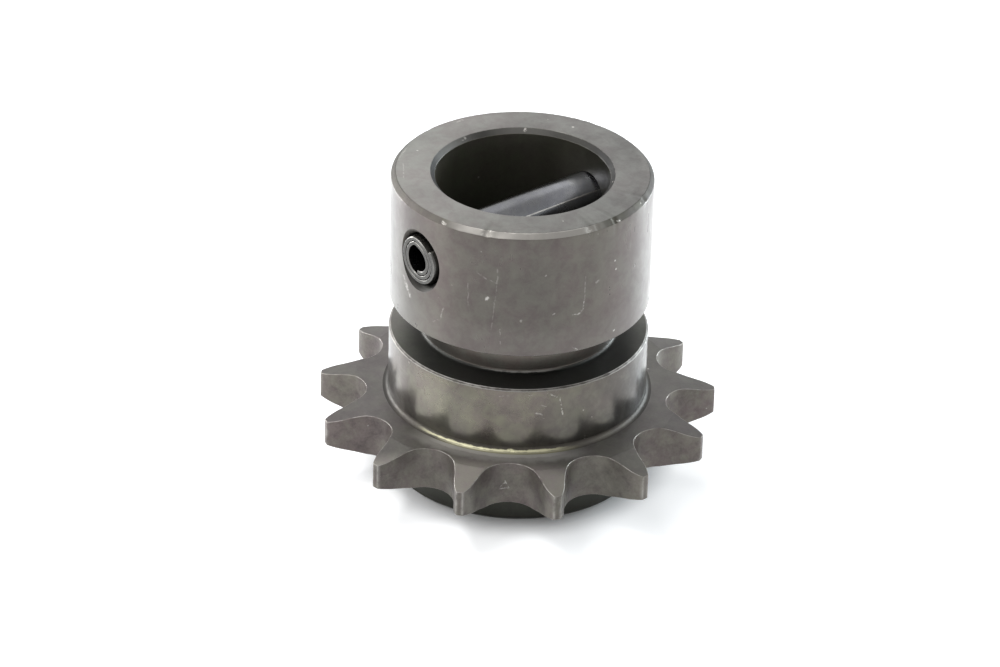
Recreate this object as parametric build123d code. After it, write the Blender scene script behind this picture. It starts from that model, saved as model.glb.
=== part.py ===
"""A hubbed roller-chain sprocket with a coiled spring pin driven across its bore.

The sprocket is one turned and hobbed piece of steel: a long hub with a square groove, a
toothed plate low on it and a short foot below. The pin is a strip of spring steel rolled
into a coil. All sizes are in millimetres. The origin is the centre of the foot's face, +Z is
up the bore, and the pin lies along Y.
"""

import os
from math import atan2, cos, pi, radians, sin, tan

from build123d import *

# chain
TEETH = 13
CHAIN_PITCH = 12.7
ROLLER_DIAMETER = 7.92
SEAT_CLEARANCE = 0.25  # extra room all round each tooth space
TIP_TRIM = 0.12  # turned off the standard outside diameter, on the radius

# toothed plate
PLATE_THICKNESS = 6.6
BEVEL_HEIGHT = 5.3  # how far in from the tips the sides start to taper
TIP_THICKNESS = 3.9
TOOTH_ANGLE = 7.1  # from the pin's front end to the nearest tooth

# hub, from the foot up
BORE_DIAMETER = 25.4
HUB_DIAMETER = 38.1
NECK_DIAMETER = 28.6
FOOT_HEIGHT = 5.2
LOWER_COLLAR_HEIGHT = 10.4
GROOVE_WIDTH = 5.6
UPPER_COLLAR_HEIGHT = 19.8
BASE_FILLET = 0.8
GROOVE_FILLET = 1.0
FILLET_FLATS = 3  # flats that each of these quarter rounds is divided into
END_CHAMFER = 0.7
FOOT_CHAMFER = 0.5
BORE_CHAMFER = 0.7
GROOVE_LIP_CHAMFER = 0.3

# coiled pin and its hole
PIN_HOLE_DIAMETER = 7.94
PIN_DEPTH = 8.4  # from the top face down to the pin's axis
PIN_SINK_DIAMETER = 9.6
PIN_LENGTH = 38.1
STRIP_THICKNESS = 0.71
COIL_GAP = 0.03
COIL_TURN = 864  # degrees of strip, from its outer edge inwards
STEP_TURN = 76  # degrees over which each layer drops under the one before
SEAM_ANGLE = 44.4  # where the outer edge lies, seen from the pin's front end
SWAGE_LENGTH = 1.8
SWAGE_DIAMETER = 7.2

pitch_radius = CHAIN_PITCH / sin(pi / TEETH) / 2
tip_radius = CHAIN_PITCH * (0.6 + 1 / tan(pi / TEETH)) / 2 - TIP_TRIM
hub_radius = HUB_DIAMETER / 2
bore_radius = BORE_DIAMETER / 2
neck_radius = NECK_DIAMETER / 2
plate_top = FOOT_HEIGHT + PLATE_THICKNESS
groove_bottom = plate_top + LOWER_COLLAR_HEIGHT
groove_top = groove_bottom + GROOVE_WIDTH
hub_top = groove_top + UPPER_COLLAR_HEIGHT
pin_height = hub_top - PIN_DEPTH
hole_radius = PIN_HOLE_DIAMETER / 2
layer_pitch = STRIP_THICKNESS + COIL_GAP


def polar(radius, degrees, centre=(0, 0)):
    """The point at a radius and an angle from a centre."""
    return (
        centre[0] + radius * cos(radians(degrees)),
        centre[1] + radius * sin(radians(degrees)),
    )


def bearing(start, end):
    """The angle of the line from one point to another, in degrees."""
    return atan2(end[1] - start[1], end[0] - start[0]) * 180 / pi


def space_flank():
    """One side of a tooth space, from its root on +X out past the tip.

    This is the American standard tooth form: a seating curve that fits the roller, a working
    curve tangent to it, a short straight, and a topping curve that rounds over to the tip.
    """
    lean = 35 + 60 / TEETH
    working_turn = 18 - 56 / TEETH
    topping_turn = 17 - 64 / TEETH
    reach = 0.8 * ROLLER_DIAMETER
    roller = (pitch_radius, 0)
    working_centre = (
        roller[0] + reach * sin(radians(lean)),
        roller[1] - reach * cos(radians(lean)),
    )
    topping_centre = (
        roller[0] - 1.4 * ROLLER_DIAMETER * sin(pi / TEETH),
        roller[1] + 1.4 * ROLLER_DIAMETER * cos(pi / TEETH),
    )
    seat = ROLLER_DIAMETER * 0.5025 + 0.04 + SEAT_CLEARANCE
    working = reach + seat
    turned = cos(radians(working_turn)) * 0.8 + cos(radians(topping_turn)) * 1.4
    topping = ROLLER_DIAMETER * (turned - 0.8) - seat
    seat_end = bearing(working_centre, roller)
    working_end = seat_end - working_turn
    outermost = bearing((0, 0), topping_centre)
    seating = CenterArc(roller, seat, 180, seat_end - 180)
    working_curve = CenterArc(working_centre, working, seat_end, -working_turn)
    topping_start = polar(topping, working_end + 180, topping_centre)
    straight = Line(working_curve @ 1, topping_start)
    topping_turned = outermost - working_end + 180
    topping_curve = CenterArc(topping_centre, topping, working_end + 180, topping_turned)
    clear = Line(topping_curve @ 1, polar(2 * tip_radius, outermost))
    return [seating, working_curve, straight, topping_curve, clear]


def tooth_space():
    """The face of one tooth space on +X, open past the tips."""
    flank = Curve() + space_flank()
    other = mirror(flank, about=Plane.XZ)
    closing = Line(flank.edges()[-1] @ 1, other.edges()[-1] @ 1)
    return make_face(flank.edges() + other.edges() + [closing])


def quarter_round(radius, inset, height, start):
    """Points along the quarter round that a tool's nose leaves in an inside corner.

    The round's centre is at an inset from the bore's axis, and it turns back from its start.
    """
    turn = 90 / FILLET_FLATS
    return [polar(radius, start - turn * n, (inset, height)) for n in range(FILLET_FLATS + 1)]


def turned_blank():
    """The turned blank: foot, plate with both sides tapered, collars, groove and bore."""
    bevel_radius = tip_radius - BEVEL_HEIGHT
    drop = (PLATE_THICKNESS - TIP_THICKNESS) / 2
    base_inset = hub_radius + BASE_FILLET
    groove_inset = neck_radius + GROOVE_FILLET
    section = [
        (bore_radius + BORE_CHAMFER, 0),
        (hub_radius - FOOT_CHAMFER, 0),
        (hub_radius, FOOT_CHAMFER),
        *quarter_round(BASE_FILLET, base_inset, FOOT_HEIGHT - BASE_FILLET, 180),
        (bevel_radius, FOOT_HEIGHT),
        (tip_radius, FOOT_HEIGHT + drop),
        (tip_radius, plate_top - drop),
        (bevel_radius, plate_top),
        *quarter_round(BASE_FILLET, base_inset, plate_top + BASE_FILLET, 270),
        (hub_radius, groove_bottom - GROOVE_LIP_CHAMFER),
        (hub_radius - GROOVE_LIP_CHAMFER, groove_bottom),
        *quarter_round(GROOVE_FILLET, groove_inset, groove_bottom + GROOVE_FILLET, 270),
        *quarter_round(GROOVE_FILLET, groove_inset, groove_top - GROOVE_FILLET, 180),
        (hub_radius, groove_top),
        (hub_radius, hub_top - END_CHAMFER),
        (hub_radius - END_CHAMFER, hub_top),
        (bore_radius + BORE_CHAMFER, hub_top),
        (bore_radius, hub_top - BORE_CHAMFER),
        (bore_radius, BORE_CHAMFER),
    ]
    return revolve(Plane.XZ * make_face(Polyline(section, close=True)), Axis.Z)


def tooth_spaces():
    """The cutters for all the tooth spaces, each through the whole plate."""
    cutter = extrude(Pos(0, 0, FOOT_HEIGHT) * tooth_space(), PLATE_THICKNESS)
    first = 270 + TOOTH_ANGLE + 180 / TEETH
    return [Rot(0, 0, first + 360 * n / TEETH) * cutter for n in range(TEETH)]


def pin_hole():
    """The cross hole through both walls, countersunk at each mouth."""
    sink_depth = (PIN_SINK_DIAMETER - PIN_HOLE_DIAMETER) / 2
    outside = 2 * sink_depth
    section = Polyline(
        (0, -hub_radius - outside),
        (PIN_SINK_DIAMETER / 2 + outside, -hub_radius - outside),
        (hole_radius, sink_depth - hub_radius),
        (hole_radius, hub_radius - sink_depth),
        (PIN_SINK_DIAMETER / 2 + outside, hub_radius + outside),
        (0, hub_radius + outside),
        close=True,
    )
    return Pos(0, 0, pin_height) * revolve(make_face(section), Axis.Y)


def sprocket():
    """The whole sprocket, one piece of steel."""
    return turned_blank() - tooth_spaces() - pin_hole()


def step_arcs(outer, start):
    """The two arcs, each tangent to its neighbours, that take the strip one layer inwards."""
    half = STEP_TURN / 2
    inner = outer - layer_pitch
    lean = sin(radians(half)) * tan(radians(half)) + cos(radians(half)) - 1
    wide = inner + layer_pitch / lean * sin(radians(half)) / sin(radians(STEP_TURN))
    tight = wide - layer_pitch / lean
    tight_centre = polar(outer - tight, start)
    wide_centre = polar(tight - wide, start - half, tight_centre)
    return [(tight_centre, tight, start, -half), (wide_centre, wide, start - half, -half)]


def coil_arcs():
    """The arcs of the strip's outer wall: a centre, a radius, a start angle and a turn each."""
    arcs = []
    turned = 0
    radius = hole_radius
    while turned < COIL_TURN:
        round_turn = min(360 - STEP_TURN, COIL_TURN - turned)
        arcs.append(((0, 0), radius, SEAM_ANGLE - turned, -round_turn))
        if turned + round_turn < COIL_TURN:
            arcs += step_arcs(radius, SEAM_ANGLE - turned - round_turn)
        turned += 360
        radius -= layer_pitch
    return arcs


def coil_wall(depth):
    """The strip's wall at a depth below its outer one, from its outer edge inwards."""
    return [
        CenterArc(centre, radius - depth, start, turn)
        for centre, radius, start, turn in coil_arcs()
    ]


def coil_section():
    """The face of the rolled strip, seen from the pin's front end."""
    outer = coil_wall(0)
    inner = coil_wall(STRIP_THICKNESS)
    edge_out = Line(outer[0] @ 0, inner[0] @ 0)
    edge_in = Line(outer[-1] @ 1, inner[-1] @ 1)
    return make_face(outer + inner + [edge_out, edge_in])


def spring_pin():
    """The coiled pin, swaged smaller at both ends."""
    half = PIN_LENGTH / 2
    full = coil_section()
    small = scale(full, SWAGE_DIAMETER / PIN_HOLE_DIAMETER)
    stations = [(-half, small), (SWAGE_LENGTH - half, full),
                (half - SWAGE_LENGTH, full), (half, small)]
    sections = [Plane.XZ.offset(along) * face for along, face in stations]
    return Pos(0, 0, pin_height) * loft(sections, ruled=True)


os.makedirs("parts", exist_ok=True)
export_step(sprocket(), "parts/sprocket.step")
export_step(spring_pin(), "parts/spring_pin.step")
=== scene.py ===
# %% [markdown]
# # A chain sprocket with a long grooved hub and a coiled pin
#
# The real part is small, about 58 mm across the teeth and 48 mm tall. It begins as a length of
# steel bar. A lathe turns the hub, the square groove and the plate, a hob cuts the teeth into the
# plate, and a bath of hot salts or a coat of oil leaves the steel dark. A pin rolled up from
# spring strip is then driven through a cross hole near the top, to lock the sprocket to its
# shaft.
#
# The solid model already gives every size. What it lacks is what a hand would notice: edges that
# are rounded by a few tenths of a millimetre, dings on the rim, and steel that is bright, dull,
# dark or scuffed from one zone to the next. The lesson remakes both pieces as dense surfaces with
# those edges, lays a finish on each zone, and sets the part on a white table.

import bmesh
import bpy
import numpy as np
from mathutils import Matrix, Vector


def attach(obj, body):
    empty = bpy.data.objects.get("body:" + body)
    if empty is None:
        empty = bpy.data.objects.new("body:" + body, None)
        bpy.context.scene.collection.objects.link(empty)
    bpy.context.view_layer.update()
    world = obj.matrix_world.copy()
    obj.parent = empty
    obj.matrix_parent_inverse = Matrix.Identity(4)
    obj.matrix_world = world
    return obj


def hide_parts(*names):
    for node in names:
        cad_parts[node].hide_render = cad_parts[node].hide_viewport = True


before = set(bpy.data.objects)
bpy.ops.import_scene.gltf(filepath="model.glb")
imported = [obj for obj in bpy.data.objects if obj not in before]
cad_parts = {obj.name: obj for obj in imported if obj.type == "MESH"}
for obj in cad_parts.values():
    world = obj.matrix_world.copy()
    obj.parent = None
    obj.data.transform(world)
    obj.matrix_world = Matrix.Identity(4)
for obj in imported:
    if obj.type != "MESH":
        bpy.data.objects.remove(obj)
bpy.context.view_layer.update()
print("solid model's nodes:", sorted(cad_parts))

# %% [markdown]
# ## Points on a plane as complex numbers
#
# Every curve here is made of circular arcs, as on a machinist's drawing. A complex number holds a
# point of the plane, so an arc is one line: its centre plus its radius times a unit vector that
# turns. Bezier curves would do as well, but they'd hide the radii that a drawing gives.


# %% An arc, and a corner rounded by one
def arc(centre, radius, start, turn, count):
    """Centre plus radius times the unit vector at start plus turn times k / count, in degrees,
    for k from 0 up to count - 1. The last point is left for the curve that follows."""
    return centre + radius * np.exp(1j * np.radians(start + turn * np.arange(count) / count))


def rounded(corners, radii, step=11):
    """A line through the corners, with an arc of the given radius in each that has one.

    The arc touches both sides: its centre lies on the corner's bisector, at the radius divided
    by the sine of half the angle between the sides. It has a point every step degrees.
    """
    line = [corners[:1]]
    for before, corner, after, radius in zip(corners, corners[1:], corners[2:], radii[1:]):
        if radius == 0:
            line.append([corner])
            continue
        side_a = (before - corner) / abs(before - corner)
        side_b = (after - corner) / abs(after - corner)
        half = np.angle(side_b / side_a) / 2
        centre = corner + side_a * np.exp(1j * half) * radius / np.sin(abs(half))
        reach = radius / np.tan(abs(half))
        first = corner + side_a * reach - centre
        turn = np.degrees(np.angle((corner + side_b * reach - centre) / first))
        count = max(2, int(round(abs(turn) / step)))
        line.append(arc(centre, radius, np.degrees(np.angle(first)), turn, count))
        line.append([corner + side_b * reach])
    line.append(corners[-1:])
    return np.concatenate(line)


# %% [markdown]
# ## The teeth
#
# A roller chain's rollers drop into round seats. The standard tooth form has four curves on each
# side of a seat: a seating arc a little wider than the roller, a working arc that lets a worn
# chain climb, a short straight, and a topping arc that rounds over to the tip. The hob cuts them
# all at once. They could be read off the solid, but worked out here they come with as many
# points as the close view needs, and with a normal for every point.

# %% Sizes of the tooth form, in millimetres
TEETH = 13
PITCH = 12.7
ROLLER = 7.92
SEAT_CLEARANCE = 0.25
TIP_TRIM = 0.12
TIP_EASE = 0.12  # how far the corner of a tip is worn back each way
FIRST_SPACE = 270 + 7.1 + 180 / TEETH  # angle of a tooth space next to the pin's front end

half_pitch = np.pi / TEETH
pitch_radius = PITCH / np.sin(half_pitch) / 2
tip_radius = PITCH * (0.6 + 1 / np.tan(half_pitch)) / 2 - TIP_TRIM
lean, working_turn, topping_turn = 35 + 60 / TEETH, 18 - 56 / TEETH, 17 - 64 / TEETH
seat_radius = ROLLER * 0.5025 + 0.04 + SEAT_CLEARANCE
WORKING, TOPPING = 0.8, 1.4  # from the seat to the centres of these arcs, in roller diameters
print(f"pitch radius {pitch_radius:.3f} mm, tip radius {tip_radius:.3f} mm")


# %% One side of a tooth space, then the whole outline
def tooth_flank():
    """Seating, working and topping arcs end to end, then the eased corner and the tip's land.

    The topping arc is followed until its distance from the axis equals the tip radius, by the
    law of cosines. The corner there is a quadratic curve: (1-t)^2 A + 2t(1-t) T + t^2 C.
    """
    reach = WORKING * ROLLER
    working_centre = pitch_radius + reach * np.exp(1j * np.radians(lean - 90))
    topping_centre = pitch_radius + TOPPING * ROLLER * np.exp(1j * (np.pi / 2 + half_pitch))
    spread = (WORKING * np.cos(np.radians(working_turn))
              + TOPPING * np.cos(np.radians(topping_turn)))
    topping = ROLLER * (spread - WORKING) - seat_radius
    seat_end = 90 + lean
    working_end = seat_end - working_turn
    away = abs(topping_centre)
    cosine = (tip_radius**2 - away**2 - topping**2) / (2 * topping * away)
    topping_start = working_end - 180
    topping_end = np.degrees(np.angle(topping_centre) - np.arccos(cosine))
    eased_end = topping_end - np.degrees(TIP_EASE / topping)
    corner = topping_centre + topping * np.exp(1j * np.radians(topping_end))
    t = np.arange(3) / 3
    ease_from = topping_centre + topping * np.exp(1j * np.radians(eased_end))
    ease_to = tip_radius * np.exp(1j * (np.angle(corner) + TIP_EASE / tip_radius))
    return np.concatenate([
        arc(pitch_radius, seat_radius, 180, seat_end - 180, 8),
        arc(working_centre, reach + seat_radius, seat_end, -working_turn, 3),
        [working_centre + (reach + seat_radius) * np.exp(1j * np.radians(working_end))],
        arc(topping_centre, topping, topping_start, eased_end - topping_start, 4),
        (1 - t) ** 2 * ease_from + 2 * t * (1 - t) * corner + t**2 * ease_to,
        [ease_to],
    ])


def all_round(tip, flank):
    """The values of a flank and its mirror image, after the tip's own, for every tooth."""
    return np.tile(np.concatenate([[tip], np.conj(flank[:0:-1]), flank]), TEETH)


flank = tooth_flank()
flank_wear = np.zeros(len(flank))
flank_wear[-4:] = (0.5, 1, 1, 0.5)  # the tip's eased corner is rubbed bright
land_edge = all_round(0, flank_wear)
space = all_round(tip_radius * np.exp(-1j * half_pitch), flank)
turns = np.radians(FIRST_SPACE) + 2 * half_pitch * np.arange(TEETH)
outline = np.repeat(np.exp(1j * turns), len(space) // TEETH) * space
ahead = np.roll(outline, -1) - np.roll(outline, 1)
inward = 1j * ahead / abs(ahead)
print(f"{len(outline)} points round the teeth, root at {abs(outline).min():.2f} mm")

# %% [markdown]
# ## The turned hub
#
# Everything but the teeth is a body of revolution. Its half section is a polygon: foot, base
# fillets, collars, groove and bore. A lathe tool has a nose radius, so inside corners are
# fillets, and a file or a tumbler breaks the outside ones. Each corner here gets a radius of its
# own, from 0.06 mm at the bore's lower mouth to 0.8 mm between the plate and the collar.

# %% Heights and radii of the hub, in millimetres
BORE, HUB, NECK = 12.7, 19.05, 14.3
FOOT, PLATE_TOP = 5.2, 11.8
GROOVE_LOW, GROOVE_HIGH, TOP = 22.2, 27.8, 47.6
BASE_FILLET, GROOVE_FILLET = 0.8, 0.6
CHAMFER, FOOT_CHAMFER, LIP_CHAMFER = 0.7, 0.5, 0.3
MEETING = 20.0  # a height inside the bore where the section starts and ends
HOLE_BAND = np.linspace(TOP - 14.4, TOP - 2.4, 7)  # heights of rings that cross the pin's hole

foot_run = rounded(
    [BORE + 1j * MEETING, BORE + 1j * CHAMFER, BORE + CHAMFER, HUB - FOOT_CHAMFER,
     HUB + 1j * FOOT_CHAMFER, HUB + 1j * FOOT, HUB + 5 + 1j * FOOT],
    [0, 0.06, 0.08, 0.1, 0.15, BASE_FILLET, 0])[:-1]
hub_run = rounded(
    [HUB + 5 + 1j * PLATE_TOP, HUB + 1j * PLATE_TOP, HUB + 1j * (GROOVE_LOW - LIP_CHAMFER),
     HUB - LIP_CHAMFER + 1j * GROOVE_LOW, NECK + 1j * GROOVE_LOW, NECK + 1j * GROOVE_HIGH,
     HUB + 1j * GROOVE_HIGH, *(HUB + 1j * HOLE_BAND), HUB + 1j * (TOP - CHAMFER),
     HUB - CHAMFER + 1j * TOP, BORE + CHAMFER + 1j * TOP, BORE + 1j * (TOP - CHAMFER),
     *(BORE + 1j * HOLE_BAND[::-1]), BORE + 1j * (MEETING + 1)],
    [0, BASE_FILLET, 0.12, 0.12, GROOVE_FILLET, GROOVE_FILLET, 0.15, *(0 * HOLE_BAND),
     0.35, 0.3, 0.08, 0.08, *(0 * HOLE_BAND), 0])[1:]
print(len(foot_run), "rings below the plate,", len(hub_run), "above it")

# %% [markdown]
# ## One skin for the whole sprocket
#
# The sprocket is one piece of steel, so it is one closed surface. Think of a rubber sheet of
# rings and columns. Each column goes round the half section once and comes back to its start.
# Below and above the plate its rings are true circles. Across the plate the rings spread from
# the base fillet's circle to the tooth outline, dip with the taper, and turn over the edge
# through a quarter round. A boolean union of a disc and a cutter would leave knife edges.

# %% The plate's rings
PLATE_MIDDLE = (FOOT + PLATE_TOP) / 2
TAPER_REACH, TAPER_DROP = 5.3, 1.35  # in from the tips, and down at the tips
CREASE = tip_radius - TAPER_REACH  # where the sides start to taper
EDGE_ROUND = 0.09
INNER_SHARES = (0, 0.15, 0.32, 0.5, 0.68, 0.86, 1)  # rings from the fillet to the crease
OUTER_SHARES = (0.2, 0.42, 0.64, 0.84, 0.95, 1)  # rings from the crease to the edge
column = outline / abs(outline)


def plate_side(distance):
    """Half the plate's thickness at a distance from the axis: level as far as the crease, and
    from there less by the taper times the distance past it."""
    taper = TAPER_DROP / TAPER_REACH
    return (PLATE_TOP - FOOT) / 2 - taper * np.maximum(0, distance - CREASE)


def plate_rings():
    """Rings over the plate's upper side, from the base fillet out and over the edge.

    A ring at share t lies at (1-t) A + t B, where A is on the fillet's circle and B is the
    outline moved inwards by the edge's radius. One ring follows the crease. Past B the edge
    turns through 90 degrees: inwards by e (1 - sin a), down by e (1 - cos a).
    """
    start = (HUB + BASE_FILLET) * column
    end = outline + EDGE_ROUND * inward
    span = abs(end) - abs(start)
    crease = np.minimum((CREASE - abs(start)) / span, 0.985)
    gap = np.minimum(0.05 / span, (1 - crease) / 3)  # between the three rings at the crease
    shares = [s * (crease - gap) for s in INNER_SHARES] + [crease, crease + gap]
    shares += [crease + gap + (1 - crease - gap) * s for s in OUTER_SHARES]
    flat = [start + (end - start) * s for s in shares]
    rings = [(ring, plate_side(abs(ring)), 0.0) for ring in flat]
    lip = plate_side(abs(end))
    for a in np.radians((22, 45, 68, 90)):
        wear = np.maximum(np.sin(2 * a), land_edge * np.sin(a))
        rings.append((outline + EDGE_ROUND * (1 - np.sin(a)) * inward,
                      lip - EDGE_ROUND * (1 - np.cos(a)), wear))
    rings.append((outline, lip - 2 * EDGE_ROUND, land_edge))
    rings.append((outline, (lip - EDGE_ROUND) * 0.4, land_edge))
    return rings


# %% All the rings in order, from the bore's middle round to where they began
upper_plate = plate_rings()
level = np.ones(len(column))
rings = [(point.real * column, point.imag * level, 0.0) for point in foot_run[:-1]]
rings += [(ring, PLATE_MIDDLE - height, wear) for ring, height, wear in upper_plate]
rings += [(ring, PLATE_MIDDLE + height, wear) for ring, height, wear in upper_plate[::-1]]
rings += [(point.real * column, point.imag * level, 0.0) for point in hub_run[1:]]
skin = np.stack([np.stack([ring.real, ring.imag, height], -1) for ring, height, _ in rings])
tooth_edge = np.stack([wear * level for _, _, wear in rings])
first_plate_ring = len(foot_run) - 1
last_plate_ring = first_plate_ring + 2 * len(upper_plate) - 1
print("skin of", skin.shape[0], "rings by", skin.shape[1], "columns")

# %% [markdown]
# ## Dings on the rim
#
# The top rim has been knocked by other parts in a bin. A ding is a shallow dent with soft sides,
# so each is a bell curve along the rim, pushed in at 45 degrees, and they add up. Nine of them
# are listed one by one, and the dice scatter the small ones. A sculpted displacement map could do
# this too, but the rim is a thin band and only its edge has to move.

# %% Push the dings into the rim
KNOCKS = [(-68, 0.20, 0.45), (-55, 0.32, 0.5), (-50, 0.18, 1.3), (-8.5, 0.30, 0.5),
          (-5, 0.20, 0.3), (5, 0.26, 0.35), (29, 0.18, 0.5), (105, 0.08, 0.6), (190, 0.08, 0.5)]
SMALL_KNOCKS, DEEPEST_SMALL = 120, 0.04
BEVEL_MIDDLE = 0.35  # in from the hub's side and down from its top
DING_REACH = 0.55  # how far from the middle of the bevel a knock is felt
dice = np.random.default_rng(13)
scatter = np.stack([dice.uniform(-180, 180, SMALL_KNOCKS),
                    DEEPEST_SMALL * dice.uniform(0.1, 1, SMALL_KNOCKS) ** 2,
                    dice.uniform(0.12, 0.5, SMALL_KNOCKS)], -1)


def dings(angle, knocks):
    """The sum of bell curves, depth times exp(-(distance along the rim / width)^2), where each
    knock is an angle in degrees, a depth and a width in millimetres."""
    place, depth, width = np.asarray(knocks, float).T
    apart = np.angle(np.exp(1j * (angle[..., None] - np.radians(place)))) * HUB
    return (depth * np.exp(-((apart / width) ** 2))).sum(-1)


angle = np.arctan2(skin[..., 1], skin[..., 0])
radius = np.hypot(skin[..., 0], skin[..., 1])
from_rim = np.hypot(radius - (HUB - BEVEL_MIDDLE), skin[..., 2] - (TOP - BEVEL_MIDDLE))
push = np.exp(-((from_rim / DING_REACH) ** 2)) * (dings(angle, KNOCKS) + dings(angle, scatter))
outward = np.stack([np.cos(angle), np.sin(angle), np.ones_like(angle)], -1) / np.sqrt(2)
skin -= push[..., None] * outward
print(f"deepest ding {push.max():.2f} mm")


# %% [markdown]
# ## From rings to a mesh
#
# A grid of points becomes a mesh in one step: corner numbers are worked out as whole arrays and
# handed to Blender with `foreach_set`. Doing it point by point in Python would take a hundred
# times as long. A number stored on each point, such as how worn it is, comes along as an
# attribute that a material can read.


# %% Make a mesh from a grid
def grid_mesh(name, grid, closed_rings=True, zones=None):
    """A mesh whose quads join neighbours on a grid of rings by columns, in millimetres. Columns
    always close on themselves, and rings do if closed_rings is set. Corners run so that faces
    point outwards. Zones gives each band of quads between rings its material's number."""
    ring_count, column_count = grid.shape[:2]
    number = np.arange(ring_count * column_count).reshape(ring_count, column_count)
    across = np.roll(number, -1, 1)
    quads = np.stack([number, across, np.roll(across, -1, 0), np.roll(number, -1, 0)], -1)
    if not closed_rings:
        quads = quads[:-1]
    if zones is None:
        zones = np.zeros(len(quads), int)
    material = np.repeat(np.asarray(zones)[: len(quads)], column_count)
    quads = quads.reshape(-1, 4)
    mesh = bpy.data.meshes.new(name)
    mesh.vertices.add(number.size)
    mesh.vertices.foreach_set("co", (grid / 1000).reshape(-1).astype(np.float32))
    mesh.loops.add(quads.size)
    mesh.loops.foreach_set("vertex_index", quads.reshape(-1).astype(np.int32))
    mesh.polygons.add(len(quads))
    mesh.polygons.foreach_set("loop_start", (np.arange(len(quads)) * 4).astype(np.int32))
    mesh.polygons.foreach_set("material_index", material.astype(np.int32))
    mesh.polygons.foreach_set("use_smooth", np.ones(len(quads), bool))
    mesh.update(calc_edges=True)
    mesh.validate()
    return mesh


def show(name, data):
    """An object of that name for a mesh, lamp or camera, at the origin."""
    piece = bpy.data.objects.new(name, data)
    bpy.context.scene.collection.objects.link(piece)
    return piece


def store(piece, name, values):
    """Keeps a number for each point of a piece, under a name that its material reads."""
    kept = piece.data.attributes.new(name, "FLOAT", "POINT")
    kept.data.foreach_set("value", values.ravel())


# %% [markdown]
# ## Zones of finish
#
# One lathe tool roughs the upper collar, another finishes the lower one, the groove is plunged,
# the bore is reamed and the teeth are hobbed. Each zone takes its own material. A ring's height
# and radius say which zone the band above it belongs to. The tests below go from broad to
# narrow, and where two of them hold, the later one wins.

# %% Number the zones, then build the skin
ZONES = ["upper_collar", "lower_collar", "base_fillet", "neck", "groove", "lip", "bore",
         "tooth_sides", "tooth_walls", "end_faces", "bevels", "mouth", "foot", "cross_hole"]
ON_SIDE = len(INNER_SHARES + OUTER_SHARES) + 1  # bands on the plate's side, up to its edge
ring_radius = np.array([np.median(np.hypot(r[:, 0], r[:, 1])) for r in skin])
ring_height = np.array([np.median(r[:, 2]) for r in skin])
across = (ring_radius + np.roll(ring_radius, -1)) / 2
height = (ring_height + np.roll(ring_height, -1)) / 2
band = np.arange(len(skin))
in_groove = (height >= GROOVE_LOW - 0.05) & (height <= GROOVE_HIGH + 0.05)
at_lip = (height > GROOVE_LOW - 0.36) & (height < GROOVE_LOW - 0.01) & (across > HUB - 0.35)
bevelled = (height > TOP - 0.72) & (height < TOP - 0.03) & (across > BORE + 0.1)
at_ends = (height > TOP - 0.03) | (height < 0.1)
tests = {
    "lower_collar": (across > NECK - 0.1) & (height < GROOVE_LOW),
    "base_fillet": (across > NECK) & (abs(height - PLATE_MIDDLE) < 4.06),
    "groove": in_groove & (across > NECK - 0.1) & (across < HUB - 0.2),
    "neck": in_groove & (abs(across - NECK) < 0.06),
    "lip": at_lip,
    "foot": height < FOOT - BASE_FILLET,
    "tooth_sides": (band >= first_plate_ring) & (band < last_plate_ring),
    "tooth_walls": (band >= first_plate_ring + ON_SIDE) & (band < last_plate_ring - ON_SIDE),
    "bore": across < BORE + 0.1,
    "bevels": bevelled,
    "mouth": bevelled & (across < BORE + 1),
    "end_faces": at_ends & (across > BORE),
}
zones = np.full(len(skin), ZONES.index("upper_collar"))
for zone, holds in tests.items():
    zones[holds] = ZONES.index(zone)
sprocket = show("sprocket_skin", grid_mesh("sprocket_skin", skin, zones=zones))
store(sprocket, "worn_edge", tooth_edge)
print("bands in each zone:", {z: int((zones == n).sum()) for n, z in enumerate(ZONES)})

# %% [markdown]
# ## The cross hole
#
# A drill goes through both walls 8.4 mm under the top, and a countersink opens each mouth. This
# one feature crosses the rings at an angle, so it is cut with a boolean, from a spindle-shaped
# cutter that is a body of revolution in its own right, about the pin's axis.

# %% The cutter
PIN_HEIGHT, PIN_RADIUS = TOP - 8.4, 3.97
SINK_RADIUS = 4.8
PAST = 2  # how far the cutter goes past the hub
sink = SINK_RADIUS - PIN_RADIUS
SINK_CORNER = [(0.12, 0.12), (0.03, -0.1), (0, -0.4)]  # its rounding: outwards, and past the sink


def lathe_along_y(name, profile, count):
    """A closed mesh of revolution about the pin's axis. Each point of the profile is a radius
    and a place along the axis, and is carried round as (r cos a, y, r sin a)."""
    turn = np.radians(-360 * np.arange(count) / count)
    grid = np.stack([profile.real[:, None] * np.cos(turn),
                     profile.imag[:, None] + 0 * turn,
                     PIN_HEIGHT + profile.real[:, None] * np.sin(turn)], -1)
    return grid_mesh(name, grid, closed_rings=False)


def merge_close(mesh, distance=1e-6):
    """Joins points that lie together, such as those at a pole."""
    points = bmesh.new()
    points.from_mesh(mesh)
    bmesh.ops.remove_doubles(points, verts=points.verts, dist=distance)
    bmesh.ops.dissolve_degenerate(points, edges=points.edges, dist=distance)
    points.to_mesh(mesh)
    points.free()


half_profile = np.array([0 - 1j * (HUB + PAST), SINK_RADIUS + PAST - 1j * (HUB + PAST)]
                        + [PIN_RADIUS + out - 1j * (HUB - sink + past)
                           for out, past in SINK_CORNER])
drill = lathe_along_y("drill", np.concatenate([half_profile, np.conj(half_profile[::-1])]), 96)
merge_close(drill)
print("cutter:", len(drill.polygons), "faces")

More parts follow.
